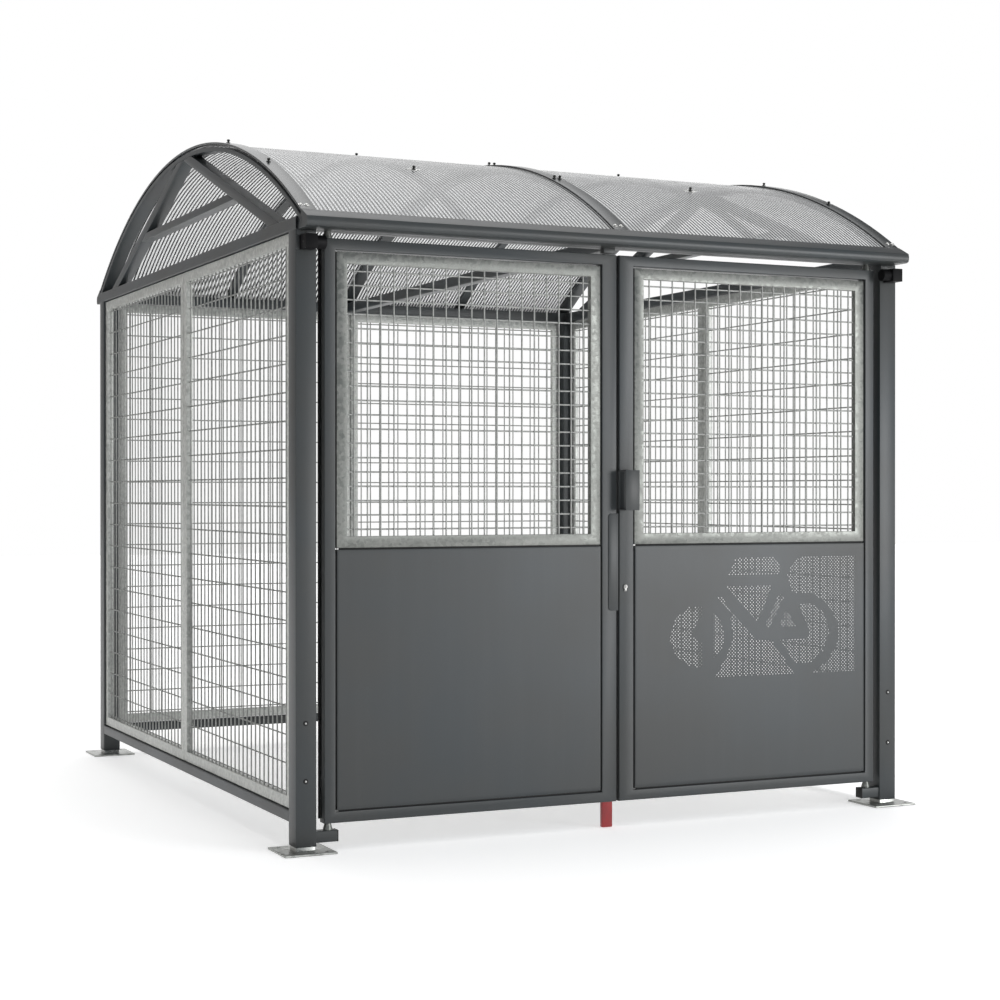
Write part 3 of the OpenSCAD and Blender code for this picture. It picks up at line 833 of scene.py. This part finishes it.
def pickHoles(sheet, rule):  # stays in edit mode with the cells' middle faces whose place obeys the rule
    area = 1.5 * math.sqrt(3) * holeMake["hole"] ** 2
    edit(sheet)
    bpy.ops.mesh.select_all(action="DESELECT")
    done()
    for face in sheet.data.polygons:
        middle = face.center
        face.select = abs(face.area / area - 1) < holeMake["spread"] and bool(rule(middle.x, middle.z))
    bpy.ops.object.mode_set(mode="EDIT")


def foldedPanel(name, side, holes):
    low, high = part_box("door_panel_" + side)
    wide, tall = panelMake["notchWide"], panelMake["notchTall"]
    rim = (low.x + wide, low.z + tall, high.x - wide, high.z - tall)
    if holes:
        fieldLow, fieldHigh = [Vector((x, 0, z)) for x, z in (holeMake["fieldLow"], holeMake["fieldHigh"])]
        sheet = cellField(fieldLow, fieldHigh, holeMake)
        for place, normal in [
            ((fieldLow.x, 0, 0), (-1, 0, 0)), ((fieldHigh.x, 0, 0), (1, 0, 0)),
            ((0, 0, fieldLow.z), (0, 0, -1)), ((0, 0, fieldHigh.z), (0, 0, 1)),
        ]:
            trimmed(sheet, place, normal)
        pickHoles(sheet, perforated)
        bpy.ops.mesh.delete(type="FACE")
        done()
        pickHoles(sheet, lambda x, z: True)  # cells that stay closed need no hole
        bpy.ops.mesh.merge(type="COLLAPSE")
        done()
        stretchRim(sheet, (fieldLow.x, fieldLow.z, fieldHigh.x, fieldHigh.z), rim)
    else:
        middle = ((rim[0] + rim[2]) / 2, 0, (rim[1] + rim[3]) / 2)
        bpy.ops.mesh.primitive_plane_add(size=1, location=middle, rotation=(quarter, 0, 0))
        sheet = bpy.context.object
        sheet.scale = (rim[2] - rim[0], rim[3] - rim[1], 1)
        settle(sheet)
    fold = (0, panelMake["fold"], 0)
    for axis, value, outer, shift in [
        ("x", rim[0], low.x, (-wide, 0, 0)), ("x", rim[2], high.x, (wide, 0, 0)),
        ("z", rim[1], low.z, (0, 0, -tall)), ("z", rim[3], high.z, (0, 0, tall)),
    ]:
        pullSide(sheet, axis, value, shift)
        pullSide(sheet, axis, outer, fold)
    foldLines = [("x", low.x), ("x", high.x), ("z", low.z), ("z", high.z)]

    def onFold(a, b):
        return onLine("y", 0, a, b) and any(onLine(axis, value, a, b) for axis, value in foldLines)

    edit(sheet)
    bpy.ops.mesh.select_all(action="SELECT")
    bpy.ops.mesh.normals_make_consistent(inside=False)
    done()
    pickEdges(sheet, onFold)
    bpy.ops.mesh.bevel(offset=panelMake["edge"], segments=3, affect="EDGES")
    done()
    front = next(face for face in sheet.data.polygons if abs(face.normal.y) > 0.9)
    if front.normal.y > 0:
        edit(sheet)
        bpy.ops.mesh.select_all(action="SELECT")
        bpy.ops.mesh.flip_normals()
        done()
    modify(sheet, "SOLIDIFY", thickness=panelMake["sheet"], offset=-1, use_even_offset=True)
    sheet.location.y = low.y
    settle(sheet)
    smooth(sheet, 30)
    sheet.name = name
    dress(sheet, anthracite, side + "_door")
    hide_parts("door_panel_" + side)


foldedPanel("door_panel_left_sheet", "left", False)
foldedPanel("door_panel_right_sheet", "right", True)
for node in ["pull_handle", "guard_plate"]:
    eased(node, anthracite, easing["small"], anyEdge, 2)
eased("lock_cylinder", nickel, easing["lock"], anyEdge, 2)
eased("drop_bolt", boltRed, easing["bolt"], anyEdge, 2)
for side in ["left", "right"]:
    eased("pivot_bracket_" + side, anthracite, easing["bracket"])
    eased("closer_" + side, closerBlack, easing["closer"], anyEdge, 2)
report("doors made")


# fixings

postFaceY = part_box("post_front_left")[0].y
postBolt = {  # outlines are (radius, height) points
    "x": 1.2215,
    "heights": (0.248, 0.448),
    "ring": [(0.0042, 0.0), (0.0042, 0.0012), (0.0080, 0.0014), (0.0092, 0.0006), (0.0092, 0.0),
             (0.0042, 0.0)],
    "head": [(0, 0.0052), (0.0020, 0.0048), (0.0036, 0.0034), (0.0042, 0.0012), (0.0042, 0.0), (0, 0.0)],
}
# post bolts: the black ring is partly the dark bolt and partly painted shade of its recess; the bright zinc
# dome is a painted glint
spots = [((sign * postBolt["x"], postFaceY, z), (0, -1, 0)) for sign in (-1, 1) for z in postBolt["heights"]]
dress(scattered("post_bolt_shade_rings", turned("bolt_shade_ring", postBolt["ring"], 20), spots), blackRubberAndShade, "shelter")
dress(scattered("post_bolt_glint_domes", turned("glint_domed_bolt", postBolt["head"], 16), spots), brightZinc, "shelter")

pivot = {"x": 1.1325, "y": -1.3925, "bracketTop": 0.072, "doorLow": 0.097, "doorTop": 2.122}
gap = pivot["doorLow"] - pivot["bracketTop"]
bushing = turned("bushing", [
    (0.0081, 0.0004), (0.0165, 0.0004), (0.0165, 0.006), (0.0115, gap - 0.003), (0.0115, gap - 0.001),
    (0.0081, gap - 0.001), (0.0081, 0.0004),
], 24)
spots = [((sign * pivot["x"], pivot["y"], height), (0, 0, 1))
         for sign in (-1, 1) for height in (pivot["bracketTop"], pivot["doorTop"])]
dress(scattered("pivot_bushings", bushing, spots), zinc, "shelter")

bracketPlug = {  # in the pivot bracket's open end; each step runs from x to x, drawn in by the third number
    "x": 1.1035, "y": (-1.4125, -1.3725), "z": (0.032, 0.072),
    "steps": [(-0.004, -0.0002, 0.0), (-0.001, 0.014, 0.0035)],
    "edge": 0.0008,
}
closerPlate = {  # on the post above and beside the closer: from x to x, from z to z, and the thickness
    "above": (1.1845, 1.2535, 2.128, 2.1455, 0.003),
    "beside": (1.2432, 1.2565, 2.077, 2.125, 0.0025),
    "edge": 0.0008,
}
socketScrew = {
    "shape": [(0, 0.0004), (0.0018, 0.0004), (0.0022, 0.0014), (0.0034, 0.0014), (0.0038, 0.0), (0, 0.0)],
    "onPlate": [(1.222, 2.138), (1.237, 2.140)],
    "onCloser": (1.243, -1.4560, 2.101),
    "onWall": [(-1.2500, 1.192, 1.147), (-1.2500, 1.192, 1.809)],
}
plugs, plates, spots = [], [], []
for sign in (-1, 1):
    x, (y0, y1), (z0, z1) = bracketPlug["x"], bracketPlug["y"], bracketPlug["z"]
    for first, last, wall in bracketPlug["steps"]:
        ends = sorted([sign * (x + first), sign * (x + last)])
        low, high = (ends[0], y0 + wall, z0 + wall), (ends[1], y1 - wall, z1 - wall)
        plugs.append(block("plug", low, high, bracketPlug["edge"]))
    for inner, outer, z0, z1, thick in [closerPlate["above"], closerPlate["beside"]]:
        ends = sorted([sign * inner, sign * outer])
        low, high = (ends[0], postFaceY - thick, z0), (ends[1], postFaceY, z1)
        plates.append(block("plate", low, high, closerPlate["edge"]))
    plateFaceY = postFaceY - closerPlate["above"][4]
    spots += [((sign * x, plateFaceY, z), (0, -1, 0)) for x, z in socketScrew["onPlate"]]
    x, y, z = socketScrew["onCloser"]
    spots.append(((sign * x, y, z), (sign, 0, 0)))
spots += [(place, (-1, 0, 0)) for place in socketScrew["onWall"]]
dress(joined("bracket_plugs", plugs), blackRubberAndShade, "shelter")
dress(joined("closer_plates", plates), anthracite, "shelter")
screws = scattered("socket_screws", turned("socket_screw", socketScrew["shape"], 14), spots)
dress(screws, blackScrew, "shelter")

# black strips that paint the shade in the gaps round the lower door panels and beside the hinge stiles
shadeStripMake = {  # front and back are depths behind the panel's face, hinge runs from x to x
    "front": 0.006, "back": 0.012, "gap": 0.0058, "lap": 0.0006, "meshLap": 0.0004, "end": 0.009,
    "edge": 0.0004, "hinge": (1.1527, 1.1598), "hingeDepth": 0.006, "hingeLow": 0.012, "hingeTop": 0.030,
    "hingeEdge": 0.0015,
}


# black strips of painted shade fill the gaps under, over and beside the lower panel
def panelShadeStrips(side):  # under, over and beside the lower panel; the corner notches stay open for daylight
    low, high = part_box("door_panel_" + side)
    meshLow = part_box("door_mesh_" + side)[0].z
    gap, lap, meshLap, end = [shadeStripMake[key] for key in ("gap", "lap", "meshLap", "end")]
    y0, y1 = low.y + shadeStripMake["front"], low.y + shadeStripMake["back"]
    level = (low.x + end, high.x - end)
    upright = (low.z + panelMake["notchTall"], high.z - panelMake["notchTall"])
    shadeStrips = []
    for (x0, x1), (z0, z1) in [
        (level, (high.z - meshLap, meshLow + meshLap)), (level, (low.z - gap, low.z + lap)),
        ((low.x - gap, low.x + lap), upright), ((high.x - lap, high.x + gap), upright),
    ]:
        shadeStrips.append(block("shade_strip", (x0, y0, z0), (x1, y1, z1), shadeStripMake["edge"]))
    return shadeStrips


for side, sign in [("left", -1), ("right", 1)]:
    shadeStrips = panelShadeStrips(side)
    leafLow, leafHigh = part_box("door_frame_" + side)
    # a black strip of painted shade in the gap along the hinge side of the door
    ends = sorted(sign * x for x in shadeStripMake["hinge"])
    low = (ends[0], leafHigh.y - shadeStripMake["hingeDepth"], leafLow.z + shadeStripMake["hingeLow"])
    high = (ends[1], leafHigh.y, leafHigh.z - shadeStripMake["hingeTop"])
    shadeStrips.append(block("shade_strip", low, high, shadeStripMake["hingeEdge"]))
    dress(joined("door_shade_strips_" + side, shadeStrips), blackRubberAndShade, side + "_door")
report("fittings placed")

roofFixing = {  # places across the shelter (x) and along the arc (rows, in y)
    "gableX": (-1.220, 1.220), "middleX": (-0.012, 0.012), "sheetX": (-0.610, 0.610),
    "endX": (-1.240, -1.218, -0.012, 0.012, 1.218, 1.240),
    "gableRows": (-1.010, -0.520, 0.0, 0.520, 1.010), "innerRows": (-0.915, -0.305, 0.305, 0.915),
    "endRows": (-1.420, 1.420), "clipRows": (-1.440, 1.440),
    "washerReach": 0.027, "washerArm": 0.014, "washerThick": 0.0022, "clip": (0.018, 0.014, 0.003),
    "edge": 0.0008,
    "stud": [(0, 0.0145), (0.0035, 0.0140), (0.0058, 0.0118), (0.0062, 0.0092), (0.0050, 0.0066),
             (0.0036, 0.0055), (0.0036, 0.0030), (0.0085, 0.0026), (0.0085, 0.0), (0, 0.0)],
    "screw": [(0, 0.0052), (0.0040, 0.0048), (0.0058, 0.0034), (0.0058, 0.0010), (0.0088, 0.0008),
              (0.0088, 0.0), (0, 0.0)],
}
sheetDrop = roof["radius"] - roof["sheetOuter"]


def onRoof(x, y, lift=0.0):  # a point on the cover strips' circle, and the direction away from it
    rise = math.sqrt(roof["radius"] ** 2 - y * y)
    away = Vector((0, y, rise)).normalized()
    return Vector((x, 0, roof["centreZ"])) + away * (roof["radius"] + lift), away


def overRoof(columns, rows, lift=0.0):
    return [onRoof(x, y, lift) for x in roofFixing[columns] for y in roofFixing[rows]]


def crossWasher(name):  # a flat plate with four arms, lying on its own XY plane
    reach, arm, thick = [roofFixing[key] for key in ("washerReach", "washerArm", "washerThick")]
    arms = []
    for size in [(2 * reach, arm, thick), (arm, 2 * reach, thick)]:
        bpy.ops.mesh.primitive_cube_add(size=1, location=(0, 0, thick / 2))
        bar = bpy.context.object
        bar.scale = size
        settle(bar)
        modify(bar, "BEVEL", width=roofFixing["edge"], segments=2)
        arms.append(bar)
    arms[0].scale.z = 1.02  # keeps the two arms' faces apart
    settle(arms[0])
    return joined(name, arms)


stud = turned("roof_stud", roofFixing["stud"], 14)
spots = overRoof("gableX", "gableRows") + overRoof("middleX", "innerRows")
spots += overRoof("sheetX", "innerRows", roofFixing["washerThick"] - sheetDrop)
dress(scattered("roof_studs", stud, spots), blackScrew, "shelter")
washer = crossWasher("cross_washer")
spots = overRoof("sheetX", "innerRows", -sheetDrop)
dress(scattered("roof_washers", washer, spots), brightZinc, "shelter")
screw = turned("strip_screw", roofFixing["screw"], 14)
spots = [onRoof(x, y) for y in roofFixing["endRows"] for x in roofFixing["endX"]]
dress(scattered("strip_screws", screw, spots), brightZinc, "shelter")
wide, deep, thick = roofFixing["clip"]
clips = []
for place, away in overRoof("sheetX", "clipRows", -sheetDrop):
    clip = block("clip", (-wide, -deep, 0.0), (wide, deep, thick), roofFixing["edge"])
    clips.append(put(clip, place, away))
dress(joined("sheet_clips", clips), nylon, "shelter")
report("fixings placed")


# floor, light and camera

bpy.ops.mesh.primitive_grid_add(x_subdivisions=4, y_subdivisions=4, size=60, location=(0, 0, 0))
floor = bpy.context.object
floor.name = "floor"
floorLook = {"Specular IOR Level": 0.1, "Emission Color": grey(1.0), "Emission Strength": 0.42}
floorFinish = Finish("pale_floor", floorLook)
floorCloud = floorFinish.noise(0.6, 3.0)
floorFinish.feed({
    "Base Color": floorFinish.mixed(floorCloud, grey(0.93, 0.93, 0.93), grey(0.95, 0.95, 0.95)),
    "Roughness": floorFinish.between(floorCloud, 0.8, 0.9),
})
floor.data.materials.append(floorFinish.material)

skyLook = {  # a dark flag keeps light off the east at half height
    "level": grey(1.08), "zenith": grey(2.7), "flagShare": 0.90,
    "west": grey(0.36, 0.345, 0.335), "south": grey(0.44, 0.465, 0.49),
}
world = bpy.data.worlds.new("studio")
bpy.context.scene.world = world
world.use_nodes = True
sky = Nodes(world.node_tree)
background = world.node_tree.nodes["Background"]
towards = sky.split(sky.node("ShaderNodeTexCoord", output="Generated"))
east, north, up = towards
flag = sky.between(east, 0.0, 1.0, 0.30, 0.60) * sky.between(up, 0.0, 1.0, 0.29, 0.40)
west = sky.between(east, 1.0, 0.0, -0.30, 0.10)
south = sky.between(north, 1.0, 0.0, -0.60, -0.10)
bright = sky.mixed(sky.between(up, 0.0, 1.0, 0.48, 0.85), skyLook["level"], skyLook["zenith"])
bright = sky.mixed(flag * skyLook["flagShare"], bright, grey(0.0))
bright = sky.mixed(west, bright, skyLook["west"])
bright = sky.mixed(south, bright, skyLook["south"])
seen = sky.node("ShaderNodeLightPath", output="Is Camera Ray")  # the backdrop itself is plain white
sky.give(background, {"Color": sky.mixed(seen, bright, grey(1.0)), "Strength": 1.0})

softBox = {"place": (6.6, -11.0, 1.6), "aim": (0.4, -1.4, 0.9), "size": 3.6, "power": 540.0}
bpy.ops.object.light_add(type="AREA", location=softBox["place"])
lamp = bpy.context.object
lamp.name = "right_light"
lamp.data.size = softBox["size"]
lamp.data.energy = softBox["power"]
aim = Vector(softBox["aim"]) - Vector(softBox["place"])
lamp.rotation_euler = aim.to_track_quat("-Z", "Y").to_euler()

# the camera's place, its turn and tilt in degrees, its lens and sensor in millimetres
shot = {"place": (-3.4191, -7.6695, 1.2416), "turn": 25.1536, "tilt": -0.2171, "lens": 69.049, "sensor": 36}
bpy.ops.object.camera_add(
    location=shot["place"], rotation=(math.radians(90 + shot["tilt"]), 0, math.radians(-shot["turn"]))
)
camera = bpy.context.object
camera.data.lens = shot["lens"]
camera.data.sensor_width = shot["sensor"]
scene = bpy.context.scene
scene.camera = camera
scene.view_settings.view_transform = "Standard"
scene.cycles.transparent_max_bounces = 32
report("light and camera set")
